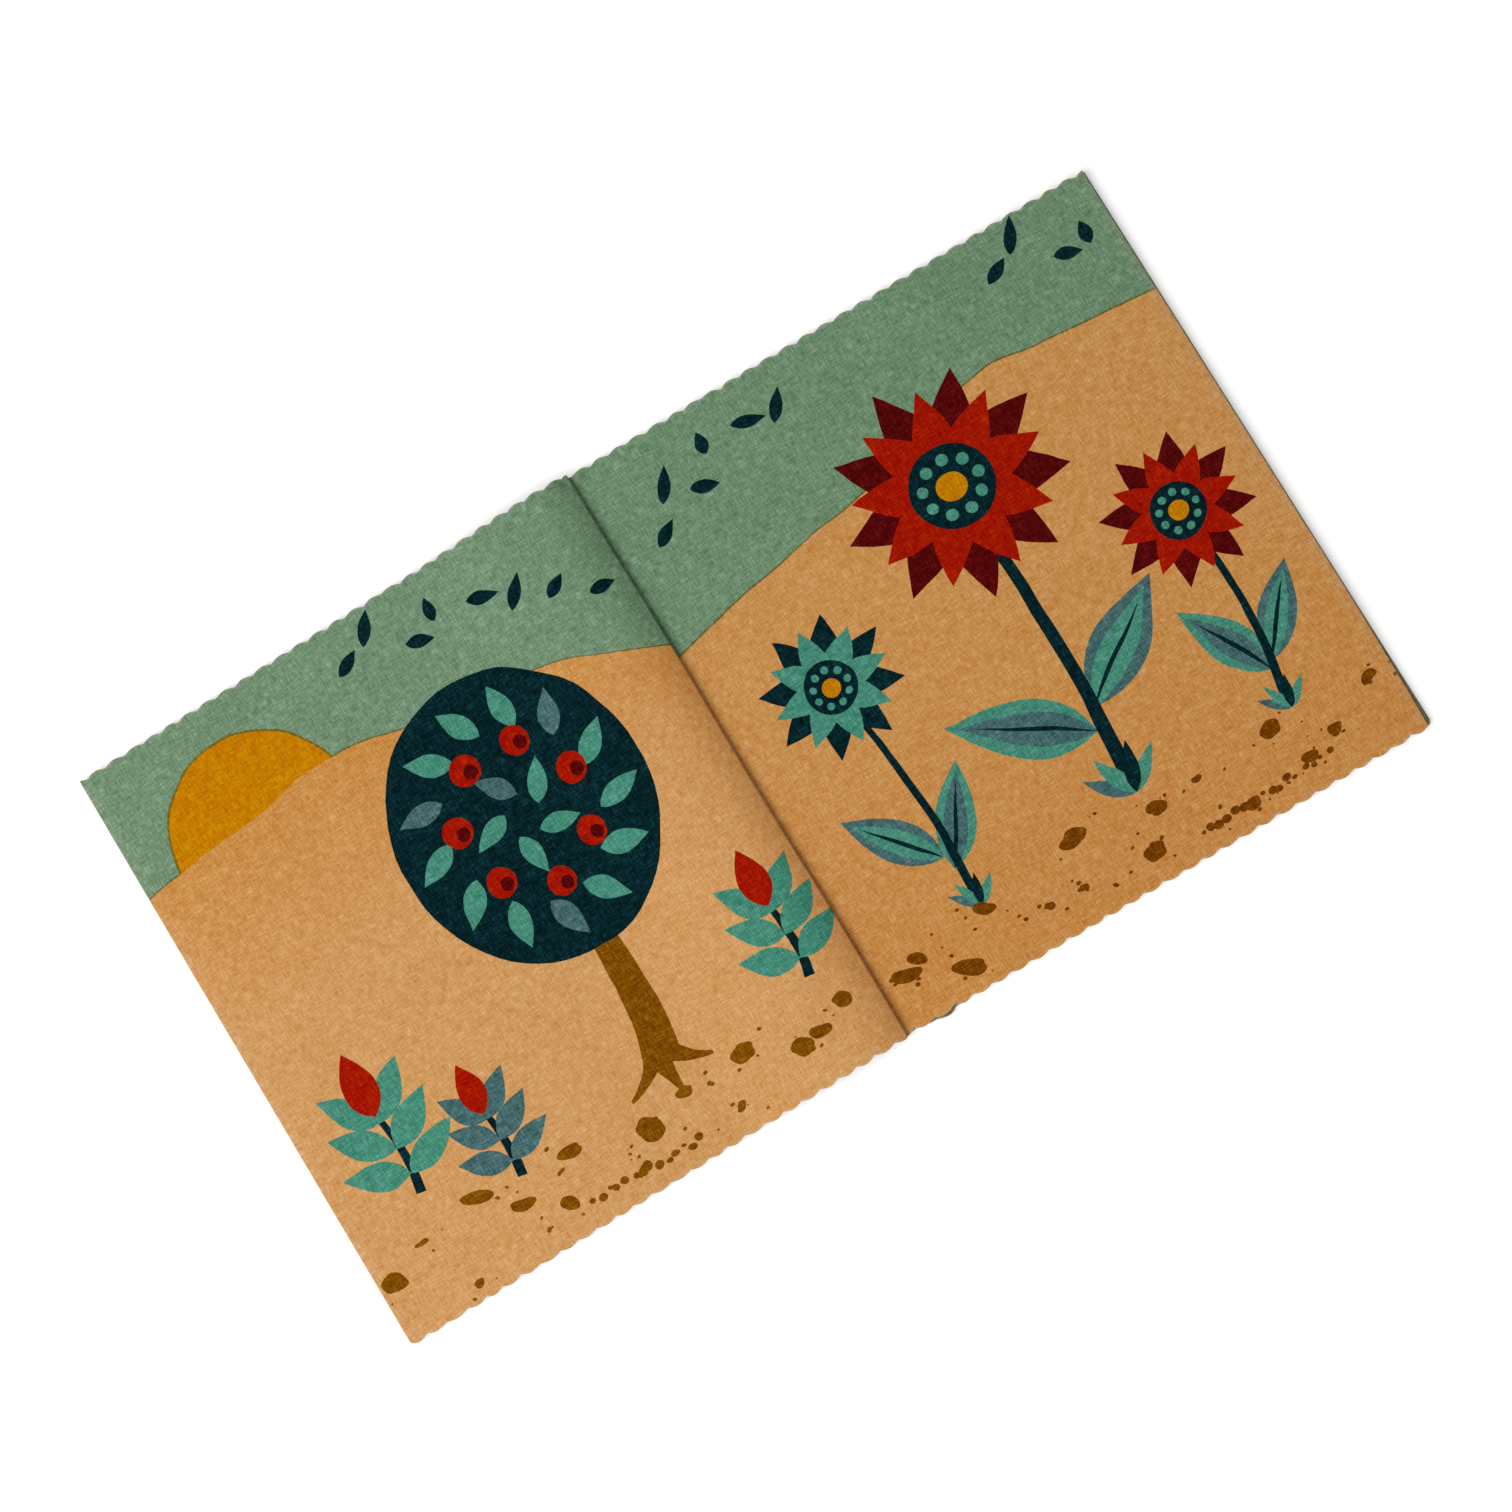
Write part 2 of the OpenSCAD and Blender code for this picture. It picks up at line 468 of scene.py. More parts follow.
# %% [markdown]
# ## The picture on the spread
# The pages carry a plain garden: sage sky over sandy fields, a low sun, a round fruit tree on the
# left, tall flowers on the right, leaves on the wind and pebbles along the bottom. Shapes are
# listed from back to front, as a screen printer would lay the colours down. A printer also lets
# one ink lap over the next, so that no bare cloth shows between them. Where the field laps over the
# sky, a thin olive line is left along the horizon.

# %% Sky and tree of the left-hand page
left_hills = [139, 147, 140, 121]
sun_x = 38
sun_y = 141
sun_r = 26.2
sun_rim_r = 26.9
left_print = [
    ("olive", field(left_hills, 2, 1, lap=0.4)),
    ("sun rim", disc(sun_x, sun_y, sun_rim_r, sun_rim_r, steps=72)),
    ("sun", disc(sun_x, sun_y, sun_r, sun_r, steps=72)),
    ("left field", field(left_hills, 2, 1)),
]
tree_x = 101
tree_y = 106
crown_w = 37
crown_h = 42
left_print += [
    ("brown", stalk((tree_x - 2, 28), (tree_x + 4, 50), (tree_x, 80), 11, 6)),
    ("brown", stalk((tree_x - 3, 32), (tree_x - 7, 26), (tree_x - 15, 23), 6, 1)),
    ("brown", stalk((tree_x - 2, 32), (tree_x - 2, 25), (tree_x - 1, 19), 7, 1)),
    ("brown", stalk((tree_x, 32), (tree_x + 3, 26), (tree_x + 11, 24), 6, 1)),
    ("navy", disc(tree_x, tree_y, crown_w, crown_h, steps=64)),
]

# %% Leaves and fruit of the tree
crown_leaf_l = 14
crown_leaf_w = 6.4
crown_leaf_lean = 28
fruits = 7
fruit_share = 0.5
fruit_first = 12
fruit_size = (4.2, 4.5)
dimple_size = (1.9, 2.1)
dimple_shift = (1.2, -1.1)
for share, count, size in [(0.27, 5, 0.9), (0.74, 13, 1.0)]:
    for i in range(count):
        around = 360 * (i + 0.5) / count
        heading = around + crown_leaf_lean
        half_l = crown_leaf_l / 2 * size
        x = tree_x + crown_w * share * math.cos(math.radians(around))
        y = tree_y + crown_h * share * math.sin(math.radians(around))
        x -= half_l * math.cos(math.radians(heading))
        y -= half_l * math.sin(math.radians(heading))
        ink = "slate" if i % 4 == 1 else "turquoise"
        left_print.append((ink, leaf(x, y, crown_leaf_l * size, crown_leaf_w * size, heading)))
for i in range(fruits):
    around = math.radians(360 * i / fruits + fruit_first)
    x = tree_x + crown_w * fruit_share * math.cos(around)
    y = tree_y + crown_h * fruit_share * math.sin(around)
    left_print.append(("red", disc(x, y, *fruit_size)))
    dimple = disc(x + dimple_shift[0], y + dimple_shift[1], *dimple_size, steps=20)
    left_print.append(("maroon", dimple))

left_print += drifting((72, 164), (112, 174), (154, 142), 8)

# %% Shrubs of the left-hand page
shrubs = [
    (24, 52, 1.0, "turquoise"),
    (50, 38, 0.8, "slate"),
    (146, 46, 0.9, "turquoise"),
]
shrub_leaf = (19, 8.5)
shrub_bud = (20, 10)
for x, y, size, ink in shrubs:
    stem = stalk((x, y - 20 * size), (x + 2, y - 8 * size), (x, y + 6 * size), 3, 1.6)
    left_print.append(("navy", stem))
    for k in range(3):
        for side in (-1, 1):
            heading = 90 - side * (66 - 12 * k)
            foot_y = y - 14 * size + 8 * size * k
            green = leaf(x, foot_y, shrub_leaf[0] * size, shrub_leaf[1] * size, heading)
            left_print.append((ink, green))
    bud = leaf(x, y + 4 * size, shrub_bud[0] * size, shrub_bud[1] * size, 90)
    left_print.append(("red", bud))

# %% Pebbles and gravel
pebble_dice = random.Random(11)
pebble_y = 14
pebble_bob = 8
pebble_bob_step = 2.4
pebble_size = (1.4, 4.4)
speck_size = (0.3, 0.9)
speck_flat = 0.7
gravel_size = (0.7, 1.6)


def pebbles(count, page, ink):
    stones = []
    for i in range(count):
        x = page * (i + pebble_dice.uniform(0.15, 0.85)) / count
        y = pebble_y + pebble_bob * math.sin(i * pebble_bob_step) + pebble_dice.uniform(-3, 3)
        width = pebble_dice.uniform(*pebble_size)
        height = width * pebble_dice.uniform(0.5, 0.8)
        turn = pebble_dice.uniform(-25, 25)
        stones.append((ink, blot(x, y, width, height, turn, page + i)))
        for k in range(pebble_dice.randint(2, 5)):
            speck = pebble_dice.uniform(*speck_size)
            speck_x = x + pebble_dice.uniform(-9, 9)
            speck_y = y + pebble_dice.uniform(-5, 4)
            speck_turn = pebble_dice.uniform(-40, 40)
            stones.append((ink, disc(speck_x, speck_y, speck, speck * speck_flat, speck_turn, steps=10)))
    return stones


def gravel(start, end, y, count, ink):
    stones = []
    for i in range(count):
        x = start + (end - start) * (i + pebble_dice.uniform(0.2, 0.8)) / count
        width = pebble_dice.uniform(*gravel_size)
        stone_y = y + pebble_dice.uniform(-1.2, 1.2)
        height = width * pebble_dice.uniform(0.7, 0.95)
        stones.append((ink, disc(x, stone_y, width, height, steps=14)))
    return stones


left_print += pebbles(15, 158, "brown")
left_print += gravel(62, 98, 5.5, 14, "brown")
print("left-hand page:", len(left_print), "shapes")

# %% Field and large leaves of the right-hand page
right_hills = [121, 131, 145, 137]
right_print = [
    ("olive", field(right_hills, 2, 4, lap=0.55)),
    ("right field", field(right_hills, 2, 4)),
]
stem_leaves = [
    (88, 44, 42, 17, 148, "turquoise"),
    (90, 50, 40, 16, 36, "slate"),
    (34, 36, 30, 12, 130, "slate"),
    (35, 32, 30, 12, 58, "turquoise"),
    (137, 34, 30, 12, 118, "turquoise"),
    (138, 36, 28, 11, 52, "slate"),
]
for x, y, length, width, heading, ink in stem_leaves:
    inner = "slate" if ink == "turquoise" else "turquoise"
    right_print.append((ink, leaf(x, y, length, width, heading)))
    right_print.append((inner, leaf(x, y, length * 0.9, width * 0.58, heading)))
    right_print.append(("navy", leaf(x, y, length * 0.82, 1.3, heading)))

# %% Flowers of the right-hand page
stem_bow = 5
outer_petal = (33, 14)
inner_petal = (28, 12)
heart_r = 12
beads = 9
bead_ring_r = 8
bead_r = 1.7
eye_r = 4.2
tuft_leaf = (15, 4.5)
tuft = [(138, "slate"), (44, "turquoise"), (112, "turquoise"), (72, "navy")]


def flower(x, y, foot, size, petals, outer, inner):
    bend = ((x + foot[0]) / 2 + stem_bow, (y + foot[1]) / 2)
    shapes = [("navy", stalk(foot, bend, (x, y), 4.2 * size, 2.6 * size))]
    for i in range(petals):
        heading = 360 * (i + 0.5) / petals
        shapes.append((outer, leaf(x, y, outer_petal[0] * size, outer_petal[1] * size, heading)))
    for i in range(petals):
        heading = 360 * i / petals
        shapes.append((inner, leaf(x, y, inner_petal[0] * size, inner_petal[1] * size, heading)))
    shapes.append(("navy", disc(x, y, heart_r * size, heart_r * size)))
    for i in range(beads):
        a = 2 * math.pi * i / beads
        bead_x = x + bead_ring_r * size * math.cos(a)
        bead_y = y + bead_ring_r * size * math.sin(a)
        shapes.append(("turquoise", disc(bead_x, bead_y, bead_r * size, bead_r * size, steps=14)))
    shapes.append(("sun", disc(x, y, eye_r * size, eye_r * size, steps=24)))
    for heading, ink in tuft:
        blade = leaf(foot[0], foot[1] - 2, tuft_leaf[0] * size, tuft_leaf[1] * size, heading)
        shapes.append((ink, blade))
    return shapes


right_print += flower(89, 122, (88, 26), 1.0, 9, "maroon", "red")
right_print += flower(32, 92, (36, 22), 0.62, 8, "navy", "turquoise")
right_print += flower(138, 84, (136, 24), 0.66, 8, "maroon", "red")
right_print += drifting((8, 146), (28, 172), (62, 164), 6)
right_print += drifting((122, 162), (140, 172), (162, 156), 4)
right_print += pebbles(15, 162, "umber")
right_print += gravel(96, 140, 6, 16, "umber")
print("right-hand page:", len(right_print), "shapes")

# %% [markdown]
# ## The lie of the cloth
# Pressed cloth is never quite flat, and no two leaves are sewn quite square. Here the pages swell
# softly away from the roll, the left-hand leaves are sewn a little askew, the edge of the roll
# sways along the gutter, and the right-hand page draws in at its bottom corner. The lower
# right-hand leaf peeks out by the gutter. A sculpting pass could do this by eye. Small formulas
# give the same result on each run, and they can be turned up or down one by one.

# %% Soft swell of the pages
swell_h = 0.42
swell_size = (47, 41)
swell_bias = 0.35
swell_row = 2.5
ripple_h = 0.1
ripple_size = (17, 15)
ripple_bias = 0.3
ripple_row = 8.5
calm_w = 25


def swell(x, y, z):
    lift = min(1, max(0, z - leaf_t) / stack_t)
    wide = noise.noise(Vector((x / swell_size[0], y / swell_size[1], swell_row)))
    small = noise.noise(Vector((x / ripple_size[0], y / ripple_size[1], ripple_row)))
    calm = min(1, max(0, abs(x) - crest_d) / calm_w)
    calm = calm * calm * (3 - 2 * calm)
    height = swell_h * max(0, swell_bias + wide) + ripple_h * max(0, ripple_bias + small)
    return lift * calm * height


# %% A cloth and the place of each of its points
peek_x = 12.5
peek_w = 5.0
flare_from = 0.22
high_seed = 20
sway_l = 97.0
sway_from = 14.4
sway_reach = 8.0


class Cloth:
    def __init__(self, course, seed, corners, inset=0.0, skew=0.0, flare=0.0, peek=0.0, sway=0.0,
                 slack=None):
        self.course = course
        self.lengths = course_lengths(course)
        self.seed = seed
        self.corners = corners
        self.inset = inset
        self.skew = skew
        self.flare = flare
        self.peek = peek
        self.sway = sway
        self.slack = slack
        across = [x for x, z in course]
        fold_places = [x for x in (max(across), min(across)) if abs(x) > page_w / 2]
        self.folds = [self.lengths[across.index(x)] for x in fold_places]

    def at(self, s):
        k = min(max(bisect.bisect_right(self.lengths, s) - 1, 0), len(self.course) - 2)
        part = (s - self.lengths[k]) / (self.lengths[k + 1] - self.lengths[k])
        (x0, z0), (x1, z1) = self.course[k], self.course[k + 1]
        return x0 + (x1 - x0) * part, z0 + (z1 - z0) * part

    def mapped(self, s):
        if self.slack is None:
            return s
        start, end, extra = self.slack
        share = min(max((s - start) / (end - start), 0), 1)
        return s + extra * share

    def from_fold(self, s):
        return min(abs(s - fold) for fold in self.folds)

    def edges(self, s):
        x = self.at(s)[0]
        lean = -edge_fall * abs(x) / page_w
        q = self.from_fold(s)
        shown = self.peek * math.exp(-((x - peek_x) / peek_w) ** 4)
        low_bite = bite(q, self.seed, self.corners[0], low_notch)
        high_bite = bite(q, self.seed + high_seed, self.corners[1], high_notch)
        low = -page_h / 2 + lean + low_bite + self.inset - shown
        high = page_h / 2 + lean - high_bite - self.inset
        return low, high

    def place(self, s, y):
        x, z = self.at(s)
        leaning = self.skew * y / page_h * min(x, 0) / page_w
        leaning -= self.flare * max(0, -y / page_h - flare_from) ** 2 * max(x, 0) / page_w
        swing = math.sin(2 * math.pi * (y - sway_from) / sway_l) * math.exp(-(x / sway_reach) ** 2)
        leaning += self.sway * swing
        return Vector((seam_x + x + leaning, seam_y + y, z + swell(x, y, z))) * MM


print(f"the swell of the page is {swell(70, 0, stack_t):.2f} mm at the middle of the right-hand page")

# %% [markdown]
# ## A sheet of printed cloth
# A real leaf starts as a flat rectangle of cloth, so the sheet is made that way too. Its pinked
# outline and its printed shapes are laid out flat, and a triangulation joins them so that every
# printed edge is an edge of the mesh. Then each point is carried to its place along the course.
# Solidify gives the ply its thickness. The flat place is kept as the map that the weave follows,
# and the map has slack at the spine, where the cover stretches round the closed book.

# %% Cut and print the flat cloth
row_step = 4.0
row_places = [row_step * i for i in range(-24, 25)]
cut_step = pink_pitch / 8
hem = 0.9
hem_room = 1.5 * hem
inside_only = 1
merge_d = 1e-5


def counter_clockwise(outline):
    turns = sum(x0 * y1 - x1 * y0 for (x0, y0), (x1, y1) in zip(outline, outline[1:] + outline[:1]))
    return outline if turns > 0 else outline[::-1]


def chain(first, count):
    return [(first + i, first + i + 1) for i in range(count - 1)]


def cut_flat(cloth, shapes):
    length = cloth.lengths[-1]
    count = math.ceil(length / cut_step)
    even_places = [length * i / count for i in range(count + 1)]
    stations = sorted({round(s, 4) for s in cloth.lengths + even_places})
    low_edge = [(s, cloth.edges(s)[0]) for s in stations]
    high_edge = [(s, cloth.edges(s)[1]) for s in stations]
    points = low_edge + high_edge[::-1]
    faces = [list(range(len(points)))]
    lines = []
    for edge, inwards in ((low_edge, hem), (high_edge, -hem)):
        lines += chain(len(points), len(stations))
        points += [(s, y + inwards) for s, y in edge]
    for s in [round(s, 4) for s in cloth.lengths]:
        low, high = cloth.edges(s)
        rows = [y for y in row_places if low + hem_room < y < high - hem_room]
        column = [(s, y) for y in [low, low + hem] + rows + [high - hem, high]]
        lines += chain(len(points), len(column))
        points += column
    for shape in shapes:
        faces.append(list(range(len(points), len(points) + len(shape))))
        points += counter_clockwise(shape)
    corners = [Vector(p) for p in points]
    flat, _, triangles, _, _, owners = delaunay_2d_cdt(corners, lines, faces, inside_only, merge_d)
    kept = [(t, max(o)) for t, o in zip(triangles, owners) if 0 in o]
    return flat, kept


# %% Carry the cloth to its place
fold_wear_w = 1.2


def fill_mesh(bm, cloth, flat, triangles, ink_names, turned_over):
    printed = bm.loops.layers.float_color.new("print")
    worn = bm.verts.layers.float.new("wear")
    weave_map = bm.loops.layers.uv.new("cloth")
    corners = {}
    for index in sorted({i for triangle, owner in triangles for i in triangle}):
        s, y = flat[index]
        corner = bm.verts.new(cloth.place(s, y))
        low, high = cloth.edges(min(max(s, 0), cloth.lengths[-1]))
        rubbed = min(cloth.from_fold(s) / fold_wear_w, (y - low) / hem, (high - y) / hem)
        corner[worn] = max(0.0, 1.0 - rubbed)
        corners[index] = corner
    for triangle, owner in triangles:
        order = triangle[::-1] if turned_over else triangle
        face = bm.faces.new([corners[i] for i in order])
        face.smooth = True
        for loop, index in zip(face.loops, order):
            loop[weave_map].uv = (cloth.mapped(flat[index].x), flat[index].y)
            loop[printed] = ink_at(ink_names[owner], flat[index].y + page_h / 2)
    for edge in bm.edges:
        edge.smooth = not edge.is_boundary


# %% Make the sheet
def make_sheet(name, cloth, base_ink, shapes, turned_over, materials):
    flat, triangles = cut_flat(cloth, [outline for ink, outline in shapes])
    ink_names = [base_ink] + [ink for ink, outline in shapes]
    bm = bmesh.new()
    fill_mesh(bm, cloth, flat, triangles, ink_names, turned_over)
    mesh = bpy.data.meshes.new(name)
    bm.to_mesh(mesh)
    bm.free()
    sheet = bpy.data.objects.new(name, mesh)
    bpy.context.scene.collection.objects.link(sheet)
    for material in materials:
        mesh.materials.append(material)
    ply = sheet.modifiers.new("ply", "SOLIDIFY")
    ply.thickness = ply_t * MM
    ply.offset = -1
    ply.material_offset_rim = 1
    print(f"{name}: {len(mesh.polygons)} triangles, {cloth.lengths[-1]:.0f} x {page_h:.0f} mm of cloth")
    return sheet


# %% [markdown]
# ## The weave
# The cloth is a linen-like plain weave: threads about half a millimetre apart that go over and
# under each other, with thicker slubs along some of them. Threads as real tubes would take millions
# of faces, so a shared node group works the weave out from the flat map, and the threads follow
# every fold. It gives a height for the bump and the depth of the ink. Slubs, patches and mottle
# vary the ink at random, and the hollows between the crossing threads get deeper ink as painted shade.

# %% Node helpers
def sums(tree, operation, first, second):
    made = tree.nodes.new("ShaderNodeMath")
    made.operation = operation
    for socket, value in zip(made.inputs, (first, second)):
        if isinstance(value, (int, float)):
            socket.default_value = value
        else:
            tree.links.new(value, socket)
    return made.outputs[0]


def streaks(tree, vector, width, height, seed):
    stretched = tree.nodes.new("ShaderNodeMapping")
    stretched.inputs["Scale"].default_value = (1 / width, 1 / height, 1)
    stretched.inputs["Location"].default_value = (seed, seed, 0)
    tree.links.new(vector, stretched.inputs["Vector"])
    pattern = tree.nodes.new("ShaderNodeTexNoise")
    pattern.noise_dimensions = "2D"
    pattern.inputs["Scale"].default_value = 1
    pattern.inputs["Detail"].default_value = 2
    tree.links.new(stretched.outputs[0], pattern.inputs["Vector"])
    return pattern.outputs["Fac"]


# %% Threads, slubs and uneven patches
thread_pitch = 0.52
slub_w = 0.42
warp_slub_l = 2.8
weft_slub_l = 3.0
patch_size = 13
mottle_w = 3.4
mottle_h = 3.0

weave = bpy.data.node_groups.new("plain weave", "ShaderNodeTree")
weave.interface.new_socket("Flat", in_out="INPUT", socket_type="NodeSocketVector")
weave.interface.new_socket("Depth", in_out="OUTPUT", socket_type="NodeSocketFloat")
weave.interface.new_socket("Height", in_out="OUTPUT", socket_type="NodeSocketFloat")
weave_in = weave.nodes.new("NodeGroupInput")
weave_out = weave.nodes.new("NodeGroupOutput")
flat_place = weave_in.outputs["Flat"]
axes = weave.nodes.new("ShaderNodeSeparateXYZ")
weave.links.new(flat_place, axes.inputs[0])

warp_slubs = streaks(weave, flat_place, slub_w, warp_slub_l, seed=3.1)
weft_slubs = streaks(weave, flat_place, weft_slub_l, slub_w, seed=17.7)
patches = streaks(weave, flat_place, patch_size, patch_size, seed=40.3)
mottle = streaks(weave, flat_place, mottle_w, mottle_h, seed=71.9)
warp = sums(weave, "SINE", sums(weave, "MULTIPLY", axes.outputs["X"], math.pi / thread_pitch), 0)
weft = sums(weave, "SINE", sums(weave, "MULTIPLY", axes.outputs["Y"], math.pi / thread_pitch), 0)
pillows = sums(weave, "ABSOLUTE", sums(weave, "MULTIPLY", warp, weft), 0)
slubs = sums(weave, "ADD", warp_slubs, weft_slubs)

# %% Height and ink depth of the weave
pillow_rise = 0.35
slub_rise = 0.7
pillow_shade = 0.06
slub_shade = 0.74
patch_shade = 0.14
mottle_shade = 0.2
full_depth = 1.96

pillow_height = sums(weave, "MULTIPLY", pillows, pillow_rise)
slub_height = sums(weave, "MULTIPLY", slubs, slub_rise)
weave.links.new(sums(weave, "ADD", pillow_height, slub_height), weave_out.inputs["Height"])
# Painted shade: the low spots between the crossing threads (the pillows) get deeper ink.
shade = sums(weave, "MULTIPLY", slubs, slub_shade)
for pattern, share in ((pillows, pillow_shade), (patches, patch_shade), (mottle, mottle_shade)):
    shade = sums(weave, "ADD", shade, sums(weave, "MULTIPLY", pattern, share))
weave.links.new(sums(weave, "SUBTRACT", full_depth, shade), weave_out.inputs["Depth"])
print("weave group:", len(weave.nodes), "nodes")

# %% [markdown]
# ## Printed and plain cloth
# The finish is matte ink on cotton. The print could be an image, but here each corner of the mesh
# carries its ink as a colour attribute. Folds and cut edges are rubbed paler, because that is where
# ink wears off first. Beside the seam the ink is made deeper, as painted shade for the gutter.
# A Gamma node makes ink deeper without making it grey, as a second coat of ink does.

# %% Ink that wears off, and painted shade beside the seam
raw_cotton = (0.62, 0.53, 0.40, 1)
wear_share = 0.26


def colour_socket(sockets, name):
    return [s for s in sockets if s.name == name and s.type == "RGBA"][0]


def worn_colour(tree, threads, plain):
    wear = tree.nodes.new("ShaderNodeAttribute")
    wear.attribute_name = "wear"
    rubbed = tree.nodes.new("ShaderNodeMix")
    rubbed.data_type = "RGBA"
    colour_socket(rubbed.inputs, "B").default_value = raw_cotton
    worn = sums(tree, "MULTIPLY", wear.outputs["Fac"], wear_share)
    tree.links.new(sums(tree, "MULTIPLY", worn, threads.outputs["Height"]), rubbed.inputs["Factor"])
    if plain is None:
        ink = tree.nodes.new("ShaderNodeAttribute")
        ink.attribute_name = "print"
        tree.links.new(ink.outputs["Color"], colour_socket(rubbed.inputs, "A"))
    else:
        colour_socket(rubbed.inputs, "A").default_value = plain
    return colour_socket(rubbed.outputs, "Result")


# Painted shade: beside the seam the ink is made deeper, standing in for the shade of the gutter.
def ink_depth_and_seam_shade(tree, flat_map, threads, seam_shade):
    if seam_shade is None:
        return threads.outputs["Depth"]
    seam_shade_w, seam_shade_depth = seam_shade
    across_cloth = tree.nodes.new("ShaderNodeSeparateXYZ")
    tree.links.new(flat_map.outputs[0], across_cloth.inputs[0])
    seam_shade_ramp = tree.nodes.new("ShaderNodeMapRange")
    seam_shade_ramp.inputs["From Max"].default_value = seam_shade_w
    seam_shade_ramp.inputs["To Min"].default_value = seam_shade_depth
    seam_shade_ramp.inputs["To Max"].default_value = 0
    tree.links.new(across_cloth.outputs["X"], seam_shade_ramp.inputs["Value"])
    return sums(tree, "ADD", threads.outputs["Depth"], seam_shade_ramp.outputs[0])


# %% Cloth finishes
def cloth_material(name, plain=None, seam_shade=None):
    material = bpy.data.materials.new(name)
    material.use_nodes = True
    tree = material.node_tree
    surface = tree.nodes["Principled BSDF"]
    surface.inputs["Roughness"].default_value = 0.93
    surface.inputs["Specular IOR Level"].default_value = 0.03
    surface.inputs["Sheen Weight"].default_value = 0.01
    surface.inputs["Sheen Roughness"].default_value = 0.6
    flat_map = tree.nodes.new("ShaderNodeUVMap")
    flat_map.uv_map = "cloth"
    threads = tree.nodes.new("ShaderNodeGroup")
    threads.node_tree = weave
    tree.links.new(flat_map.outputs[0], threads.inputs["Flat"])
    shaded = tree.nodes.new("ShaderNodeGamma")
    tree.links.new(worn_colour(tree, threads, plain), shaded.inputs["Color"])
    tree.links.new(ink_depth_and_seam_shade(tree, flat_map, threads, seam_shade), shaded.inputs["Gamma"])
    tree.links.new(shaded.outputs[0], surface.inputs["Base Color"])
    bump = tree.nodes.new("ShaderNodeBump")
    bump.inputs["Strength"].default_value = 0.5
    bump.inputs["Distance"].default_value = 0.00012
    tree.links.new(threads.outputs["Height"], bump.inputs["Height"])
    tree.links.new(bump.outputs[0], surface.inputs["Normal"])
    return material


# Width of the painted shade beside the seam, in millimetres, and how much deeper it makes the ink
flat_seam_shade = (4.4, 0.1)
roll_seam_shade = (17, 0.16)
page_cloth = cloth_material("page cloth", seam_shade=flat_seam_shade)
rolled_cloth = cloth_material("rolled page cloth", seam_shade=roll_seam_shade)
cover_cloth = cloth_material("cover cloth", plain=linear("cover"))
cut_edge = cloth_material("cut edge", plain=raw_cotton)
print("cloth finishes:", [m.name for m in (page_cloth, rolled_cloth, cover_cloth, cut_edge)])

# %% [markdown]
# ## The sheets of the book
# Four sheets make the pages and one long sheet makes both covers. The right-hand leaves ride on
# their half. The left-hand leaves are held at the seam and the cover crosses the spine, so these
# three sheets are not attached to either half, and their places are written into their meshes.

# %% Right-hand pages
# Radius of the bottom corner and of the top corner
right_corners = (0.6, 0.35)
right_top = Cloth(right_top_course, 1, right_corners, flare=11.0)
right_shapes = []
for ink, outline in right_print:
    right_shapes.append((ink, [(x + seam_margin, y - page_h / 2) for x, y in by_hand(outline)]))
right_finish = [page_cloth, cut_edge]
right_page = make_sheet("right_page", right_top, "deep sage", right_shapes, False, right_finish)
right_under = Cloth(right_low_course, 1, right_corners, inset=0.25, peek=1.1)
right_under_leaf = make_sheet("right_under_leaf", right_under, "olive", [], False, right_finish)
for piece in (right_page, right_under_leaf):
    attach(piece, "right_half")
    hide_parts("right_pages")

# %% Left-hand pages
left_corners = (1.6, 0.35)
left_skew = 0.7
left_sway = 0.18
left_top = Cloth(left_top_course, 3, left_corners, inset=-0.35, skew=left_skew, sway=left_sway)
fold_s = left_top.folds[0]
left_shapes = []
for ink, outline in left_print:
    left_shapes.append((ink, [(fold_s - x, y - page_h / 2) for x, y in by_hand(outline)]))
left_finish = [rolled_cloth, cut_edge]
left_page = make_sheet("left_page", left_top, "sage", left_shapes, True, left_finish)
left_under = Cloth(left_low_course, 3, left_corners, skew=left_skew, sway=left_sway)
left_under_leaf = make_sheet("left_under_leaf", left_under, "olive", [], True, left_finish)

# %% Place of the left-hand pages
seam_end = left_top.place(0, 0)
for piece in (left_page, left_under_leaf):
    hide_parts("left_pages")
    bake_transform(piece)

# %% Cover
spine_bend = (0.3, 4.0)
closed_spine = math.pi * frame["joints"][0]["pos_m"][2] / MM
spine_s = course_lengths(cover_run)[cover_run.index((0, 0))]
spine_slack = (spine_s - spine_bend[1], spine_s - spine_bend[0], closed_spine)
cover_sheet = Cloth(cover_run, 2, left_corners, inset=0.4, skew=left_skew, slack=spine_slack)
cover = make_sheet("cover", cover_sheet, "cover", [], True, [cover_cloth, cut_edge])
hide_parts("front_cover", "back_cover")
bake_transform(cover)

# %% [markdown]
# ## The stitching
# The thread is already the right shape in the frame, so it only needs its finish. Sewing thread is
# two or three yarns twisted together, and the twist shows as fine slanted bands along each stitch.
# The yarns could be modelled, but a stitch is half a millimetre thick, so a Wave texture that runs
# on the slant gives their bump, and darkens the thread in the grooves between them as painted shade.

# %% Finish of the thread
thread = bpy.data.materials.new("sewing thread")
thread.use_nodes = True
thread_tree = thread.node_tree
thread_surface = thread_tree.nodes["Principled BSDF"]
thread_surface.inputs["Roughness"].default_value = 0.75
thread_surface.inputs["Sheen Weight"].default_value = 0.2
thread_place = thread_tree.nodes.new("ShaderNodeTexCoord")
twist = thread_tree.nodes.new("ShaderNodeTexWave")
twist.bands_direction = "DIAGONAL"
twist.inputs["Scale"].default_value = 900
twist.inputs["Distortion"].default_value = 1.5
thread_tree.links.new(thread_place.outputs["Object"], twist.inputs["Vector"])
